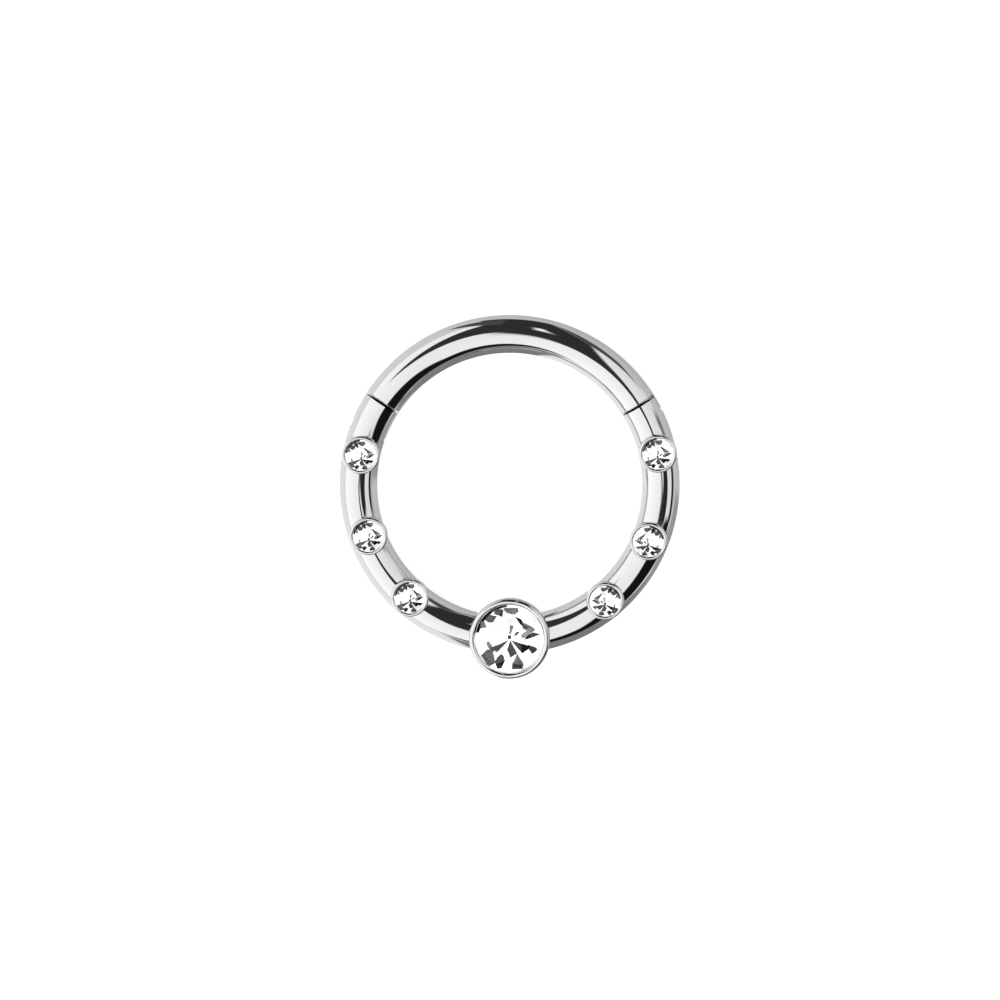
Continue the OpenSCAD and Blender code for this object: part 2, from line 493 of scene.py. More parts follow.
POLISHED_STEEL = Metal(
    name="polished_steel",
    dark=(0.560, 0.562, 0.568, 1.0),
    light=(0.610, 0.610, 0.612, 1.0),
    edge_tint=(0.86, 0.86, 0.87, 1.0),
    roughness=(0.025, 0.06),
    cloud_scale=900.0,
    mark_scale=14000.0,
    mark_stretch=(1, 1, 1),
    mark_height=3e-8,
)
DRAWN_STEEL = Metal(
    name="drawn_pin_steel",
    dark=(0.50, 0.50, 0.51, 1.0),
    light=(0.58, 0.58, 0.59, 1.0),
    edge_tint=(0.9, 0.9, 0.9, 1.0),
    roughness=(0.18, 0.30),
    cloud_scale=6000.0,
    mark_scale=40000.0,
    mark_stretch=(1, 1, 0.05),
    mark_height=3e-7,
)
CRYSTAL = Glass(
    name="crystal",
    clear=(1.0, 1.0, 1.0, 1.0),
    cool=(0.97, 0.98, 1.0, 1.0),
    ior=1.55,
    cloud_scale=700.0,
)
# Foil behind the stones: light metal that also glows, painted light that keeps the foil white
GLOWING_FOIL = Metal(
    name="glowing_foil",
    dark=(0.92, 0.92, 0.93, 1.0),
    light=(0.98, 0.98, 0.98, 1.0),
    edge_tint=(1.0, 1.0, 1.0, 1.0),
    roughness=(0.25, 0.35),
    cloud_scale=2500.0,
    mark_scale=9000.0,
    mark_stretch=(1, 1, 1),
    mark_height=1e-8,
    # Painted light: the foil glows though it is no lamp
    glow=0.6,
)
# Darker copies of the foil for the patches: painted reflections of dark things mirrored in the stones, and
# painted shadow under the lip
PAINTED_GREY_REFLECTION = replace(
    GLOWING_FOIL,
    name="painted_grey_reflection",
    dark=(0.18, 0.18, 0.18, 1.0),
    light=(0.36, 0.36, 0.36, 1.0),
    edge_tint=(0.5, 0.5, 0.5, 1.0),
    glow=0.0,
)
PAINTED_DEEP_REFLECTION = replace(
    GLOWING_FOIL,
    name="painted_deep_reflection",
    dark=(0.05, 0.05, 0.05, 1.0),
    light=(0.11, 0.11, 0.11, 1.0),
    edge_tint=(0.3, 0.3, 0.3, 1.0),
    glow=0.0,
)
PAINTED_DARK_REFLECTION = replace(
    GLOWING_FOIL,
    name="painted_dark_reflection",
    dark=(0.01, 0.01, 0.01, 1.0),
    light=(0.03, 0.03, 0.03, 1.0),
    edge_tint=(0.1, 0.1, 0.1, 1.0),
    glow=0.0,
)


# Wire


@dataclass(frozen=True)
class EndEdge:
    """Broken edge round an end of the wire: its depth along the wire and inward."""

    along: float = 0.0
    inward: float = 0.0


@dataclass(frozen=True)
class RoundWire:
    """Round wire bent to a ring that lies just clear of the floor."""

    radius: float = 0.6
    ring_r: float = 4.8
    middle_z: float = 0.63
    sides: int = 128
    step_deg: float = 1.0

    def point(self, place: float, inset: float = 0.0) -> Point:
        """Gives a point on the wire's middle line or inward of it.

        Args:
            place: Angle round the ring in degrees.
            inset: How far inward of the middle line it lies.

        Returns:
            The point.
        """
        angle = math.radians(place)
        r = self.ring_r - inset
        return (r * math.cos(angle), r * math.sin(angle), self.middle_z)

    def degrees(self, length: float) -> float:
        """Turns a length along the middle line into degrees."""
        return math.degrees(length / self.ring_r)

    def on_wire(self, thing: Thing, place: float) -> Thing:
        """Puts an object on the wire.

        Args:
            thing: The object, modelled with X outward, Y along the wire and Z up.
            place: Angle round the ring in degrees.

        Returns:
            The same object.
        """
        return moved(thing, self.point(place), place)

    def arc(self, name: str, ends: tuple[float, float], edges: tuple[EndEdge, EndEdge]) -> Thing:
        """Bends an arc with a broken edge at each end.

        Args:
            name: The arc's name.
            ends: Angles of its two end faces in degrees.
            edges: Broken edges of the two ends.

        Returns:
            The arc.
        """
        start, end = ends
        first, last = edges
        sweep = end - start - self.degrees(first.along + last.along)
        clear_picks()
        bpy.ops.mesh.primitive_circle_add(
            vertices=self.sides,
            radius=self.radius - first.inward,
            fill_type="NGON",
            location=self.point(start),
            rotation=(math.pi / 2, 0, math.radians(start)),
        )
        wire = bpy.context.object
        bpy.ops.object.mode_set(mode="EDIT")
        self.step_along(start, first.along, self.radius / (self.radius - first.inward))
        bpy.ops.mesh.spin(
            steps=round(sweep / self.step_deg),
            angle=math.radians(sweep),
            center=(0, 0, 0),
            axis=(0, 0, -1),
        )
        last_start = end - self.degrees(last.along)
        self.step_along(last_start, last.along, 1 - last.inward / self.radius)
        close_mesh()
        settle(wire, name)
        return face_outwards(wire)

    def step_along(self, place: float, length: float, share: float) -> None:
        """Extrudes the selected end along the wire and scales it.

        Args:
            place: Angle at which the selected end stands, in degrees.
            length: How far it moves along the ring.
            share: Its size after the step as a share of its size before.
        """
        if length == 0:
            return
        old = Vector(self.point(place))
        new = Vector(self.point(place + self.degrees(length)))
        bpy.ops.mesh.extrude_region_move(TRANSFORM_OT_translate={"value": tuple(new - old)})
        bpy.ops.transform.resize(value=(share, share, share), center_override=tuple(new))


WIRE = RoundWire()
# Half of the gap between the end faces at a seam, in degrees
HALF_GAP = WIRE.degrees(0.02)
# Thickness of both tongues, and the gap on each side of them
TONGUE_T = 0.34
SLOT_GAP = 0.03
SLOT_HALF = TONGUE_T / 2 + SLOT_GAP
# Length and half height of cutters that take in a whole end of the wire
CUT_LENGTH = 2.2
CUT_HALF = 1.2


@dataclass(frozen=True)
class Hinge:
    """Where the hinge's parts are, and the gaps between them."""

    seam: float = 146.5
    pin_back: float = 0.72
    pin_out: float = 0.28
    pin_r: float = 0.14
    pin_front: float = 0.36
    seat_gap: float = 0.01
    turning_gap: float = 0.02
    knuckle_r: float = 0.33
    heel_short: float = 0.02
    floor_gap: float = 0.06
    sides: int = 64

    @property
    def pin_place(self) -> float:
        """Angle at which the pin stands, in degrees."""
        return self.seam + HALF_GAP + WIRE.degrees(self.pin_back)

    def rod(self, name: str, radius: float, low: float, high: float) -> Thing:
        """Makes a round bar on the pin's axis.

        Args:
            name: The bar's name.
            radius: Its radius.
            low: Height of its lower end from the middle of the wire.
            high: Height of its upper end.

        Returns:
            The bar.
        """
        made = turned(name, ((radius, low), (radius, high)), self.sides)
        moved(made, (self.pin_out, 0, 0))
        return WIRE.on_wire(made, self.pin_place)


@dataclass(frozen=True)
class Click:
    """Where the click end's parts are."""

    seam: float = 32.3
    reach: float = 0.52
    inner: float = 0.25
    nose_out: float = 0.35
    nose_in_segment: float = 0.1
    sides: int = 128


HINGE = Hinge()
CLICK = Click()


# Stones and cups


@dataclass(frozen=True)
class Setting:
    """Sizes of a bezel cup and of the stone that it holds."""

    cup_r: float
    back_r: float
    height: float
    stone_r: float
    lip_r: float
    patch_edge: float
    patch_drop: float
    sides: int
    straight_wall: float = 0.4
    lip_share: float = 0.75
    stone_gap: float = 0.02
    slope_factor: float = 1.4
    back_edge: float = 0.02
    wall_bend: float = 0.03
    lip_steps: int = 16

    @property
    def lip_w(self) -> float:
        """Width of the lip."""
        return self.cup_r - self.lip_r

    @property
    def lip_mid(self) -> float:
        """Height at which the lip's round starts."""
        return self.height - self.lip_w / 2

    @property
    def lip_under(self) -> float:
        """Height at which the lip's inner edge ends."""
        return self.height - self.lip_share * self.lip_w

    @property
    def bore_r(self) -> float:
        """Radius of the well that the stone sits in."""
        return self.stone_r + self.stone_gap

    def seat_z(self, r: float) -> float:
        """Height of the seat at a radius.

        Args:
            r: The radius.

        Returns:
            The height, below the stone's pavilion and parallel to it.
        """
        cut = StoneCut(self)
        drop = (self.stone_r - r) * cut.pavilion_slope + cut.low_bulge
        return cut.girdle_low - drop - self.slope_factor * self.stone_gap

    def cup(self, name: str) -> Thing:
        """Turns the cup with its rounded lip and its seat.

        Args:
            name: The cup's name.

        Returns:
            The cup, standing on the origin.
        """
        wall_z = self.height - self.straight_wall
        slope = (self.cup_r - self.back_r) / wall_z
        outline = [
            (self.back_r - self.back_edge, 0.0),
            (self.back_r + self.back_edge * slope, self.back_edge),
            (self.cup_r - self.wall_bend * slope, wall_z - self.wall_bend),
            (self.cup_r, wall_z + self.wall_bend),
        ]
        half_w = self.lip_w / 2
        for i in range(self.lip_steps + 1):
            angle = math.pi * i / self.lip_steps
            ring = (
                self.lip_r + half_w + half_w * math.cos(angle),
                self.lip_mid + half_w * math.sin(angle),
            )
            outline.append(ring)
        outline += [
            (self.lip_r, self.lip_under),
            (self.bore_r, self.lip_under),
            (self.bore_r, self.seat_z(self.bore_r)),
            (0.0, self.seat_z(0.0)),
        ]
        return turned(name, outline, self.sides)

    def clearing(self, name: str) -> Thing:
        """Makes the space inside a cup that the wire must not fill.

        Args:
            name: The cutter's name.

        Returns:
            The cutter, which ends within the cup's wall.
        """
        wall_r = (self.cup_r + self.bore_r) / 2
        below = 2 * self.stone_gap
        outline = (
            (wall_r, self.height),
            (wall_r, self.seat_z(wall_r) - below),
            (0.0, self.seat_z(0.0) - below),
        )
        return turned(name, outline, self.sides)


class Foil(IntEnum):
    """Material slots of the foil behind a stone: the glowing light foil, then three shades of painted
    reflection and painted shadow.
    """

    LIGHT = 1
    GREY = 2
    DEEP = 3
    DARK = 4


@dataclass(frozen=True)
class Patch:
    """Grey to black patch of painted reflection on the foil, with its corners anticlockwise; those at the
    lip are painted shadow.

    They are given right and up of the stone's middle, as shares of the lip's radius.
    """

    foil: Foil
    corners: tuple[tuple[float, float], ...]

    def sides(self, setting: Setting, mirrored: bool) -> list[tuple[Vector, Vector]]:
        """Lists the upright planes along its sides.

        Args:
            setting: Sizes of the stone.
            mirrored: Whether right and left are swapped.

        Returns:
            A point of each plane and its normal, which points into the patch.
        """
        hand = -1 if mirrored else 1
        unit = setting.lip_r
        drop = setting.patch_drop
        spots = []
        for x, y in self.corners:
            sunk = y - drop * (1 - x * x - y * y)
            spots.append(Vector((hand * x * unit, sunk * unit, 0)))
        up = Vector((0, 0, hand))
        planes = []
        for first, second in zip(spots, spots[1:] + spots[:1]):
            inward = up.cross(second - first).normalized()
            planes.append((first - inward * setting.patch_edge * unit, inward))
        return planes


# Patches of painted reflection on the foil, grey to black, standing in for dark things mirrored in the
# stones; the last three are painted shadow under the lip
PATCHES = (
    Patch(Foil.DARK, ((-.46, -.33), (-.34, -.43), (-.05, -.17))),
    Patch(Foil.DARK, ((-.06, -.37), (.02, -.54), (.17, -.45), (.02, -.18))),
    Patch(Foil.DARK, ((.06, -.17), (.21, -.33), (.32, -.43), (.46, -.32), (.49, -.26))),
    Patch(Foil.DEEP, ((.45, -.3), (.58, -.44), (.72, -.33), (.64, -.28), (.46, -.24))),
    Patch(Foil.GREY, ((.09, -.68), (.36, -.71), (.19, -.47))),
    Patch(Foil.DEEP, ((.08, -.85), (.35, -.86), (.36, -.71), (.09, -.68))),
    Patch(Foil.DARK, ((-.37, -.65), (-.32, -.86), (-.22, -.83), (-.11, -.58), (-.23, -.48), (-.29, -.53))),
    Patch(Foil.DEEP, ((-.8, -.51), (-.58, -.81), (-.37, -.67), (-.42, -.36), (-.54, -.34))),
    Patch(Foil.DARK, ((.15, .42), (.27, .26), (.4, .16), (.44, .17), (.27, .38))),
    Patch(Foil.GREY, ((.3, .16), (.52, .07), (.6, .13), (.63, .17), (.38, .31))),
    Patch(Foil.DARK, ((.38, -.11), (.57, -.03), (.79, .07), (.57, .07), (.47, .01))),
    Patch(Foil.GREY, ((.27, -.02), (.31, -.09), (.48, -.03), (.5, .09), (.4, .09))),
    Patch(Foil.DARK, ((.11, -.05), (.17, -.03), (.23, .05), (.17, .04))),
    Patch(Foil.GREY, ((.01, -.01), (.05, .03), (.09, .19), (.02, .2))),
    Patch(Foil.DARK, ((-.03, -.12), (.03, -.12), (.03, -.06), (-.03, -.06))),
    Patch(Foil.DEEP, ((-.4, .6), (-.34, .55), (-.18, .45), (-.17, .71), (-.38, .75))),
    Patch(Foil.DEEP, ((-.67, .49), (-.53, .36), (-.41, .35), (-.32, .48), (-.55, .6))),
    Patch(Foil.GREY, ((-.79, .42), (-.76, .23), (-.57, .21), (-.68, .42))),
    Patch(Foil.GREY, ((-.14, .71), (-.06, .6), (.12, .53), (.22, .63), (.23, .79), (-.12, .78))),
    Patch(Foil.GREY, ((-.54, -.18), (-.49, -.32), (-.43, -.3), (-.5, -.16))),
    # Painted shadow: the dark crescent under the lip at the upper left
    Patch(Foil.DARK, ((-1.02, .17), (-.83, .13), (-.69, .43), (-.84, .54))),
    Patch(Foil.DARK, ((-.84, .54), (-.69, .43), (-.45, .69), (-.54, .82))),
    Patch(Foil.DEEP, ((-.54, .82), (-.45, .69), (-.08, .84), (-.08, .97))),
)


@dataclass(frozen=True)
class StoneCut:
    """Facets of a round stone: table, 8 stars, 8 kites, 8 mains and girdle facets."""

    setting: Setting
    mirrored: bool = False
    mains: int = 8
    table_share: float = 0.55
    crown_share: float = 0.15
    girdle_share: float = 0.03
    pavilion_share: float = 0.43
    low_share: float = 0.3
    foil_tilt: float = -0.2

    @property
    def half_facet(self) -> float:
        """Half the angle between two main facets, in radians."""
        return math.pi / self.mains

    @property
    def stone_r(self) -> float:
        """Radius of the stone."""
        return self.setting.stone_r

    @property
    def table_r(self) -> float:
        """Radius of the table's corners."""
        return self.stone_r * self.table_share

    @property
    def crown_h(self) -> float:
        """Height of the crown."""
        return 2 * self.stone_r * self.crown_share

    @property
    def pavilion_h(self) -> float:
        """Depth of the pavilion."""
        return 2 * self.stone_r * self.pavilion_share

    @property
    def pavilion_slope(self) -> float:
        """Slope of the main facets."""
        return self.pavilion_h / self.stone_r

    @property
    def star_r(self) -> float:
        """Radius of the stars' outer corners."""
        return (self.table_r * math.cos(self.half_facet) + self.stone_r) / 2

    @property
    def star_drop(self) -> float:
        """How far the stars' outer corners lie below the table."""
        slope = self.crown_h / (self.stone_r - self.table_r)
        return (self.star_r * math.cos(self.half_facet) - self.table_r) * slope

    @property
    def low_r(self) -> float:
        """Radius of the lower girdle facets' inner corners."""
        return self.stone_r * self.low_share

    @property
    def low_bulge(self) -> float:
        """How far those corners stand out of the cone through the girdle."""
        return self.low_r * (1 - math.cos(self.half_facet)) * self.pavilion_slope

    @property
    def girdle_top(self) -> float:
        """Height of the girdle's upper edge."""
        edge_slope = (self.crown_h - self.star_drop) / (self.stone_r - self.star_r)
        held = self.setting.slope_factor * self.setting.stone_gap
        return self.setting.lip_under - held - (self.stone_r - self.setting.lip_r) * edge_slope

    @property
    def girdle_low(self) -> float:
        """Height of the girdle's lower edge."""
        return self.girdle_top - 2 * self.stone_r * self.girdle_share

    @property
    def table_z(self) -> float:
        """Height of the table."""
        return self.girdle_top + self.crown_h

    def at(self, r: float, z: float, step: float) -> Vector:
        """Gives a point of the stone.

        Args:
            r: Its radius.
            z: Its height.
            step: Its angle in steps of a main facet.

        Returns:
            The point.
        """
        angle = 2 * self.half_facet * step
        return Vector((r * math.cos(angle), r * math.sin(angle), z))

    def planes(self) -> Iterable[tuple[Vector, Vector]]:
        """Lists the facets.

        Yields:
            A point of each facet and its normal, which points out of the stone.
        """
        star_z = self.table_z - self.star_drop
        low_in = self.low_r * math.cos(self.half_facet)
        low_z = self.girdle_low - (self.stone_r - low_in) * self.pavilion_slope
        culet = Vector((0, 0, self.girdle_low - self.pavilion_h))
        middle = Vector((0, 0, self.girdle_top))
        trios = [[self.at(self.table_r, self.table_z, i) for i in (0, 3, 6)]]
        for i in range(self.mains):
            table = [self.at(self.table_r, self.table_z, i + k) for k in (0, 1)]
            star = self.at(self.star_r, star_z, i + 0.5)
            before = self.at(self.star_r, star_z, i - 0.5)
            upper = [self.at(self.stone_r, self.girdle_top, i + k) for k in (0, 0.5, 1)]
            lower = [self.at(self.stone_r, self.girdle_low, i + k) for k in (0, 0.5, 1)]
            low = self.at(self.low_r, low_z, i + 0.5)
            trios += [
                [table[0], star, before],
                [table[0], table[1], star],
                [star, upper[0], upper[1]],
                [star, upper[1], upper[2]],
                [lower[0], low, culet],
                [low, lower[0], lower[1]],
                [low, lower[1], lower[2]],
            ]
        for a, b, c in trios:
            normal = (b - a).cross(c - a).normalized()
            if normal.dot(a - middle) < 0:
                normal.negate()
            yield a, normal

    def stone(self, name: str) -> Thing:
        """Cuts the stone from a round blank, one facet after another.

        Args:
            name: The stone's name.

        Returns:
            The stone, over the origin, with its pavilion in the second material slot and its patches of
            painted reflection and shadow in the later slots.
        """
        low_z = self.girdle_low - self.pavilion_h
        blank = turned(
            name,
            ((self.stone_r, low_z - PAST), (self.stone_r, self.table_z + PAST)),
            self.setting.sides,
        )
        open_mesh(blank)
        for point, normal in self.planes():
            bpy.ops.mesh.select_all(action="SELECT")
            bpy.ops.mesh.bisect(
                plane_co=point,
                plane_no=normal,
                use_fill=True,
                clear_outer=True,
                threshold=TINY / 10,
            )
        close_mesh()
        face_outwards(blank)
        self.lay_foil(blank)
        return blank

    def lay_foil(self, stone: Thing) -> None:
        """Divides the pavilion's faces along the patches and gives each face its foil: the glowing light
        foil, and on the patches their painted reflections and shadows.

        Args:
            stone: The cut stone, over the origin.
        """
        for face in stone.data.polygons:
            face.material_index = Foil.LIGHT if face.normal.z < self.foil_tilt else 0
        for patch in PATCHES:
            sides = patch.sides(self.setting, self.mirrored)
            for i, (point, normal) in enumerate(sides):
                for face in stone.data.polygons:
                    face.select = self.on_patch(face, sides[:i])
                pick(stone)
                bpy.ops.object.mode_set(mode="EDIT")
                bpy.ops.mesh.select_mode(type="FACE")
                bpy.ops.mesh.bisect(plane_co=point, plane_no=normal, threshold=TINY / 10)
                bpy.ops.object.mode_set(mode="OBJECT")
            for face in stone.data.polygons:
                if self.on_patch(face, sides):
                    face.material_index = patch.foil

    @staticmethod
    def on_patch(face: bpy.types.MeshPolygon, sides: Sequence[tuple[Vector, Vector]]) -> bool:
        """Tells whether a face has light foil and lies on the inner side of some planes.

        Args:
            face: The face.
            sides: A point of each plane and its normal, which points inward.

        Returns:
            Whether it does.
        """
        light = face.material_index == Foil.LIGHT
        return light and all((face.center - point).dot(normal) > 0 for point, normal in sides)


LARGE = Setting(
    cup_r=1.28,
    back_r=0.95,
    height=1.63,
    stone_r=1.12,
    lip_r=1.08,
    patch_edge=0.01,
    patch_drop=-0.04,
    sides=128,
)
SMALL = Setting(
    cup_r=0.6,
    back_r=0.45,
    height=1.45,
    stone_r=0.51,
    lip_r=0.485,
    patch_edge=0.022,
    patch_drop=0.12,
    sides=96,
)
# The four lower small cups sit this far inward from the middle of the wire
LOW_INSET = 0.08


@dataclass(frozen=True)
class StonePlace:
    """Where a stone sits on the ring, and whether the painted reflections and shadows of its foil are
    mirrored.
    """

    node: str
    place: float
    inset: float = 0.0
    setting: Setting = SMALL
    mirrored: bool = False


PLACES = (
    StonePlace("centre_stone", 270.0, setting=LARGE),
    StonePlace("right_low_stone", 310.0, LOW_INSET, mirrored=True),
    StonePlace("right_mid_stone", 338.7, LOW_INSET, mirrored=True),
    StonePlace("right_top_stone", 372.8),
    StonePlace("left_low_stone", 228.1, LOW_INSET),
    StonePlace("left_mid_stone", 199.2, LOW_INSET),
    StonePlace("left_top_stone", 167.7),
)


def at_each_place(model: Callable[[StonePlace], Thing]) -> list[tuple[Thing, str]]:
    """Models a thing once for each kind of place and puts copies at all places.

    Args:
        model: Makes the thing over the origin.

    Returns:
        Each thing with the node of its place.
    """
    patterns: dict[tuple[Setting, bool], Thing] = {}
    made = []
    for spot in PLACES:
        kind = (spot.setting, spot.mirrored)
        if kind not in patterns:
            patterns[kind] = model(spot)
        thing = copied(patterns[kind], spot.node + "_copy")
        x, y, _ = WIRE.point(spot.place, spot.inset)
        made.append((moved(thing, (x, y, 0)), spot.node))
    for pattern in patterns.values():
        bpy.data.objects.remove(pattern)
    return made


# Sub-assemblies


@dataclass(frozen=True)
class RingBody:
    """Lower arc of wire with seven cups soldered in, slotted at both ends."""

    name: str = "ring_body_polished"
    hinge_edge: EndEdge = EndEdge(0.045, 0.09)
    click_edge: EndEdge = EndEdge(0.04, 0.08)

    def build(self, steel: bpy.types.Material) -> None:
        """Models and dresses the body.

        Args:
            steel: Its finish.
        """
        body = self.model()
        paint(body, steel)
        finish_piece(body, Body.RING, Slot.STEEL, "ring_body")

    def model(self) -> Thing:
        """Models the body.

        Returns:
            The body.
        """
        ends = (HINGE.seam + HALF_GAP, CLICK.seam - HALF_GAP + 360)
        body = WIRE.arc(self.name, ends, (self.hinge_edge, self.click_edge))
        clearings = at_each_place(lambda spot: spot.setting.clearing("clearing"))
        combine(body, join([thing for thing, _ in clearings], "clearings"), Cut.TAKE)
        cups = at_each_place(lambda spot: spot.setting.cup("cup"))
        combine(body, join([thing for thing, _ in cups], "cups"), Cut.ADD)
        combine(body, self.hinge_slot(), Cut.TAKE)
        combine(body, self.click_slot(), Cut.TAKE)
        pin_seat = HINGE.rod(
            "pin_seat",
            HINGE.pin_r + HINGE.seat_gap,
            -CUT_HALF,
            HINGE.pin_front + HINGE.seat_gap,
        )
        combine(body, pin_seat, Cut.TAKE)
        return face_outwards(body)

    def hinge_slot(self) -> Thing:
        """Makes the cutter of the slot for the hinge tongue."""
        depth = HINGE.knuckle_r + HINGE.floor_gap
        slot = bar(
            "hinge_slot",
            (-CUT_HALF, -CUT_LENGTH, -SLOT_HALF),
            (CUT_HALF, depth, SLOT_HALF),
        )
        return WIRE.on_wire(slot, HINGE.pin_place)

    def click_slot(self) -> Thing:
        """Makes the cutter of the slot for the click tongue, open outward only."""
        slot = bar(
            "click_slot",
            (-CLICK.inner - SLOT_GAP, -CLICK.reach - SLOT_GAP, -SLOT_HALF),
            (CUT_HALF, PAST, SLOT_HALF),
        )
        return WIRE.on_wire(slot, CLICK.seam - HALF_GAP)


@dataclass(frozen=True)
class ClickSegment:
    """Smooth upper arc with a hinge tongue and a click tongue."""

    name: str = "segment_polished"
    edge: float = 0.02
    edge_stop: float = 0.173

    def build(self, steel: bpy.types.Material) -> None:
        """Models and dresses the segment.

        Args:
            steel: Its finish.
        """
        segment = self.model()
        paint(segment, steel)
        finish_piece(segment, Body.ARC, Slot.STEEL, "segment")

    def model(self) -> Thing:
        """Models the segment.

        Returns:
            The segment.
        """
        click_face = CLICK.seam + HALF_GAP
        hinge_face = HINGE.seam - HALF_GAP
        ends = (
            click_face - WIRE.degrees(CLICK.reach + PAST),
            HINGE.pin_place + WIRE.degrees(HINGE.knuckle_r + PAST),
        )
        segment = WIRE.arc(self.name, ends, (EndEdge(), EndEdge()))
        for face, turn in ((click_face, 0.0), (hinge_face, 180.0)):
            for cutter in (self.shoulder(), self.face_edge()):
                combine(segment, WIRE.on_wire(moved(cutter, (0, 0, 0), turn), face), Cut.TAKE)
        combine(segment, WIRE.on_wire(self.past_knuckle(), HINGE.pin_place), Cut.TAKE)
        combine(segment, WIRE.on_wire(self.past_nose(), click_face), Cut.TAKE)
        bore = HINGE.rod("bore", HINGE.pin_r + HINGE.turning_gap, -CUT_HALF, CUT_HALF)
        combine(segment, bore, Cut.TAKE)
        return face_outwards(segment)

    def shoulder(self) -> Thing:
        """Makes the cutter of what stands past an end face above and below a tongue.

        Returns:
            The cutter. The end face is at Y = 0 and the wire lies towards +Y.
        """
        above = bar(
            "above_tongue",
            (-CUT_HALF, -CUT_LENGTH, TONGUE_T / 2),
            (CUT_HALF, 0, CUT_HALF),
        )
        below = bar(
            "below_tongue",
            (-CUT_HALF, -CUT_LENGTH, -CUT_HALF),
            (CUT_HALF, 0, -TONGUE_T / 2),
        )
        return join([above, below], "shoulder")

    def face_edge(self) -> Thing:
        """Makes the cutter of the broken edge round an end face.

        Returns:
            The cutter. The end face is at Y = 0 and the wire lies towards +Y.
        """
        edge = self.edge
        r = WIRE.radius
        round_bar = turned("edge_block", ((2 * r, -edge), (2 * r, 2 * edge)), WIRE.sides)
        cone = turned("edge_cone", ((r - 3 * edge, -2 * edge), (r + 2 * edge, 3 * edge)), WIRE.sides)
        combine(round_bar, cone, Cut.TAKE)
        round_bar.rotation_euler = (-math.pi / 2, 0, 0)
        settle(round_bar, "face_edge")
        slab = bar(
            "tongue_slab",
            (-3 * r, -PAST, -self.edge_stop),
            (3 * r, PAST, self.edge_stop),
        )
        return combine(round_bar, slab, Cut.TAKE)

    def past_knuckle(self) -> Thing:
        """Makes the cutter of what stands past the round end and heel of the hinge tongue."""
        cutter = bar("past_knuckle", (-CUT_HALF, 0, -CUT_HALF), (CUT_HALF, CUT_LENGTH, CUT_HALF))
        knuckle = turned(
            "knuckle",
            ((HINGE.knuckle_r, -CUT_LENGTH), (HINGE.knuckle_r, CUT_LENGTH)),
            HINGE.sides,
        )
        moved(knuckle, (HINGE.pin_out, 0, 0))
        heel = bar(
            "heel",
            (-CUT_LENGTH, -PAST, -CUT_LENGTH),
            (HINGE.pin_out, HINGE.knuckle_r - HINGE.heel_short, CUT_LENGTH),
        )
        combine(cutter, knuckle, Cut.TAKE)
        return combine(cutter, heel, Cut.TAKE)

    def past_nose(self) -> Thing:
        """Makes the cutter of what stands past the end and inner side of the click tongue."""
        cutter = bar("past_nose", (-CUT_HALF, -CUT_LENGTH, -CUT_HALF), (CUT_HALF, 0, CUT_HALF))
        nose_r = CLICK.reach + CLICK.nose_in_segment
        nose = turned("nose", ((nose_r, -CUT_LENGTH), (nose_r, CUT_LENGTH)), CLICK.sides)
        moved(nose, (CLICK.nose_out, CLICK.nose_in_segment, 0))
        outside = bar(
            "outer_side",
            (-CLICK.inner, -2 * CUT_LENGTH, -2 * CUT_LENGTH),
            (2 * CUT_LENGTH, 2 * CUT_LENGTH, 2 * CUT_LENGTH),
        )
        combine(nose, outside, Cut.KEEP)
        return combine(cutter, nose, Cut.TAKE)


@dataclass(frozen=True)
class HingePin:
    """Pin pressed in from the back, its end ground flush with the wire."""

    name: str = "hinge_pin_drawn"
    beside_deg: float = 7.0

    def build(self, steel: bpy.types.Material) -> None:
        """Models and dresses the pin.

        Args:
            steel: Its finish.
        """
        pin = HINGE.rod(self.name, HINGE.pin_r, -CUT_HALF, HINGE.pin_front)
        ends = (HINGE.pin_place - self.beside_deg, HINGE.pin_place + self.beside_deg)
        wire = WIRE.arc("wire_round_pin", ends, (EndEdge(), EndEdge()))
        combine(pin, wire, Cut.KEEP)
        face_outwards(pin)
        paint(pin, steel)
        finish_piece(pin, Body.RING, Slot.PIN, "hinge_pin")


@dataclass(frozen=True)
class StoneSet:
    """The large and the six small stones."""

    ending: str = "_cut"

    def build(self, *finishes: bpy.types.Material) -> None:
        """Models and dresses the stones.

        Args:
            *finishes: Glass of crown and girdle, then the glowing foil and the painted reflections in the
                       order of Foil.
        """
        for stone, node in at_each_place(self.stone):
            settle(stone, node + self.ending)
            paint(stone, *finishes)
            finish_piece(stone, Body.RING, Slot.CRYSTAL, node)

    @staticmethod
    def stone(spot: StonePlace) -> Thing:
        """Cuts the stone of a place."""
        return StoneCut(spot.setting, spot.mirrored).stone("stone")


# Studio


@dataclass(frozen=True)
class Card:
    """Card beside the ring, as the ring sees it.

    Its corners run anticlockwise and are given in degrees right and up of straight
    overhead. Its shade is its brightness.
    """

    corners: tuple[tuple[float, float], ...]
    shade: float
    soft: float = 2.0


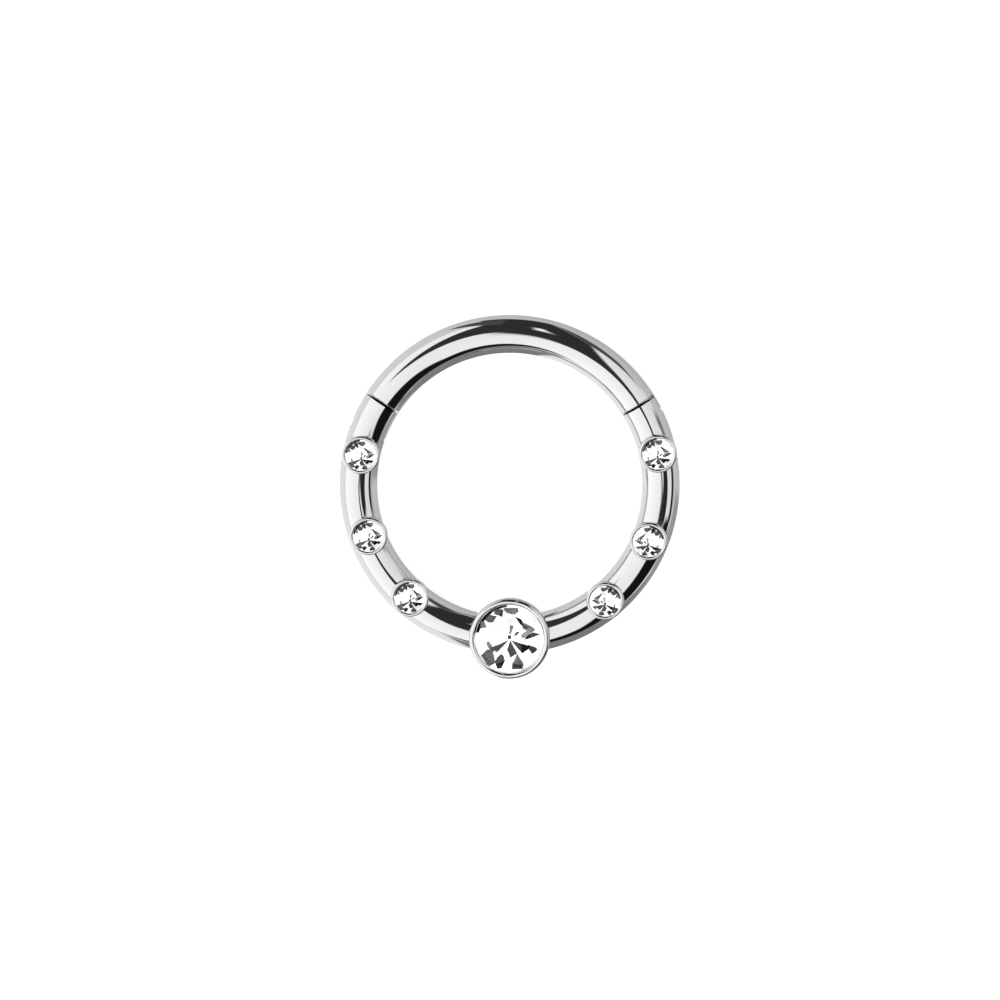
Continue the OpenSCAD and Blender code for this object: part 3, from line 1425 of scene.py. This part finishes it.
CARDS = (
    Card(((9, -5), (32.5, 45), (36, 55), (30, 102.5), (-20.7, 109.7), (0.6, 1.2)), 0.042, 1.6),
    Card(((4, -7), (9, -5), (13, 5), (2, 2), (0.2, -3.5)), 0.042, 1.0),
    Card(((5.5, 14), (-0.4, 92), (-37.2, 25.6)), 0.045),
    Card(((-4, 62), (-2, 100), (-46, 104), (-20, 78)), 0.1, 1.6),
    Card(((7.8, 40), (12.3, 37), (13, 53.5), (9.6, 54)), 1.5, 1.6),
    Card(((34, 54), (61, 38), (60, 58), (32, 102)), 0.1, 3.0),
    Card(((84, -45), (60, -250), (200, -60), (100, -12)), 0.5, 6.0),
    Card(((-29, -76), (-20, -250), (60, -250), (92, -64)), 0.32, 3.0),
    Card(((-35, -70), (-2, -74), (30, -76), (60, -62), (84, -45), (84, -30), (18, -52)), 0.012),
    Card(((20, -10), (23, -70), (69, -50), (78, -17), (50, -17)), 0.011),
    Card(((64, -30), (80, -24), (84, 6), (70, 8)), 0.02),
    Card(((12, -8), (24, -14), (42, -17), (41, 0), (22, 1)), 0.03),
    Card(((4.1, -6.7), (15.8, -12.1), (25.8, -7.5), (11, -5.6)), 0.044, 1.0),
    Card(((56, 17), (84, 0), (76, 30), (59, 23)), 0.28, 4.0),
)


@dataclass(frozen=True)
class Studio:
    """White floor, bright sky with dark cards, and camera."""

    tilt_deg: float = 6.0
    aim: Point = (-0.30, -0.48, 0.63)
    frame_w: float = 31.75
    lens: float = 150.0
    sensor: float = 36.0
    floor_size: float = 2.0
    floor_drop: float = 1e-6
    floor_white: float = 0.5
    floor_glow: float = 0.3
    floor_seen: float = 0.8
    # Brightness overhead, and what it gains for each degree right and up of overhead
    sky: tuple[float, float, float] = (1.388, -0.0037, -0.0014)
    # The same of what lies below the horizon, which starts between these angles
    low_sky: tuple[float, float, float] = (1.05, -0.0017, -0.0017)
    low_from: float = 79.0
    low_to: float = 92.0
    # A darker line along the horizon: its share, start and end
    line_dim: float = 0.25
    line_start: tuple[float, float] = (80.0, 84.0)
    line_end: tuple[float, float] = (86.0, 90.0)
    sky_seen: float = 1.0

    def build(self) -> None:
        """Sets up floor, light and camera."""
        self.floor()
        self.light()
        self.camera()
        bpy.context.scene.view_settings.view_transform = "Standard"

    def floor(self) -> None:
        """Lays the white floor."""
        clear_picks()
        bpy.ops.mesh.primitive_plane_add(size=self.floor_size, location=(0, 0, -self.floor_drop))
        floor = settle(bpy.context.object, "white_floor")
        # The steel mirrors the sky below the horizon in place of the floor
        floor.visible_glossy = False
        made = bpy.data.materials.new("white_floor")
        made.use_nodes = True
        tree = Tree(made.node_tree)
        shader = made.node_tree.nodes["Principled BSDF"]
        white = (self.floor_white,) * 3 + (1.0,)
        seen = tree.add("LightPath").outputs["Is Camera Ray"]
        tree.feed(shader.inputs["Base Color"], white)
        tree.feed(shader.inputs["Roughness"], 1.0)
        tree.feed(shader.inputs["Specular IOR Level"], 0.0)
        tree.feed(shader.inputs["Emission Color"], (1.0, 1.0, 1.0, 1.0))
        glow = tree.number("MULTIPLY_ADD", seen, self.floor_seen - self.floor_glow, self.floor_glow)
        tree.feed(shader.inputs["Emission Strength"], glow)
        floor.data.materials.append(made)

    def light(self) -> None:
        """Builds the sky with its cards."""
        world = bpy.data.worlds.new("studio_light")
        bpy.context.scene.world = world
        world.use_nodes = True
        tree = Tree(world.node_tree)
        split = tree.add("SeparateXYZ")
        tree.feed(split.inputs[0], tree.add("TexCoord").outputs["Generated"])
        x, y, z = split.outputs
        polar = tree.number("DEGREES", tree.number("ARCCOSINE", z))
        x_squared = tree.number("MULTIPLY", x, x)
        flat = tree.number("SQRT", tree.number("MULTIPLY_ADD", y, y, x_squared))
        share = tree.number("DIVIDE", polar, flat)
        right = tree.number("MULTIPLY", x, share)
        up = tree.number("MULTIPLY", y, share)
        high, low = (
            tree.number("MULTIPLY_ADD", up, per_up, tree.number("MULTIPLY_ADD", right, per_right, middle))
            for middle, per_right, per_up in (self.sky, self.low_sky)
        )
        level = tree.lerp(tree.rise(polar, self.low_from, self.low_to), high, low)
        start = tree.rise(polar, *self.line_start)
        line = tree.number("SUBTRACT", start, tree.rise(polar, *self.line_end))
        level = tree.number("MULTIPLY", level, tree.number("MULTIPLY_ADD", line, -self.line_dim, 1.0))
        for card in CARDS:
            level = tree.lerp(self.card_mask(tree, card, right, up), level, card.shade)
        level = tree.lerp(tree.add("LightPath").outputs["Is Camera Ray"], level, self.sky_seen)
        tree.feed(world.node_tree.nodes["Background"].inputs["Color"], level)

    def card_mask(self, tree: Tree, card: Card, right: Socket, up: Socket) -> Socket:
        """Tells how far a direction lies on a card.

        Args:
            tree: The sky's tree.
            card: The card.
            right: Degrees right of overhead.
            up: Degrees up of overhead.

        Returns:
            1 on the card, 0 beside it.
        """
        mask: Socket | float = 1.0
        for (x0, y0), (x1, y1) in zip(card.corners, card.corners[1:] + card.corners[:1]):
            length = math.hypot(x1 - x0, y1 - y0)
            side_x, side_y = (y0 - y1) / length, (x1 - x0) / length
            start = -(side_x * x0 + side_y * y0)
            inward = tree.number("MULTIPLY_ADD", right, side_x, start)
            inward = tree.number("MULTIPLY_ADD", up, side_y, inward)
            mask = tree.number("MINIMUM", tree.rise(inward, -card.soft, card.soft), mask)
        return mask

    def camera(self) -> None:
        """Sets the camera over the jewelled face."""
        tilt = math.radians(self.tilt_deg)
        distance = self.frame_w * self.lens / self.sensor
        back = Vector((0, math.sin(tilt), math.cos(tilt)))
        spot = (Vector(self.aim) + back * distance) * MM
        clear_picks()
        bpy.ops.object.camera_add(location=spot, rotation=(-tilt, 0, 0))
        camera = bpy.context.object
        camera.data.lens = self.lens
        camera.data.sensor_width = self.sensor
        camera.data.clip_start = 10 * MM
        bpy.context.scene.camera = camera


def main() -> None:
    """Builds, dresses and reports each sub-assembly, then the studio."""
    logging.basicConfig(level=logging.INFO, format="%(name)s: %(message)s")
    steel = POLISHED_STEEL.material()
    RingBody().build(steel)
    ClickSegment().build(steel)
    HingePin().build(DRAWN_STEEL.material())
    foils = (GLOWING_FOIL, PAINTED_GREY_REFLECTION, PAINTED_DEEP_REFLECTION, PAINTED_DARK_REFLECTION)
    StoneSet().build(CRYSTAL.material(), *(foil.material() for foil in foils))
    Studio().build()


if __name__ == "__main__":
    main()
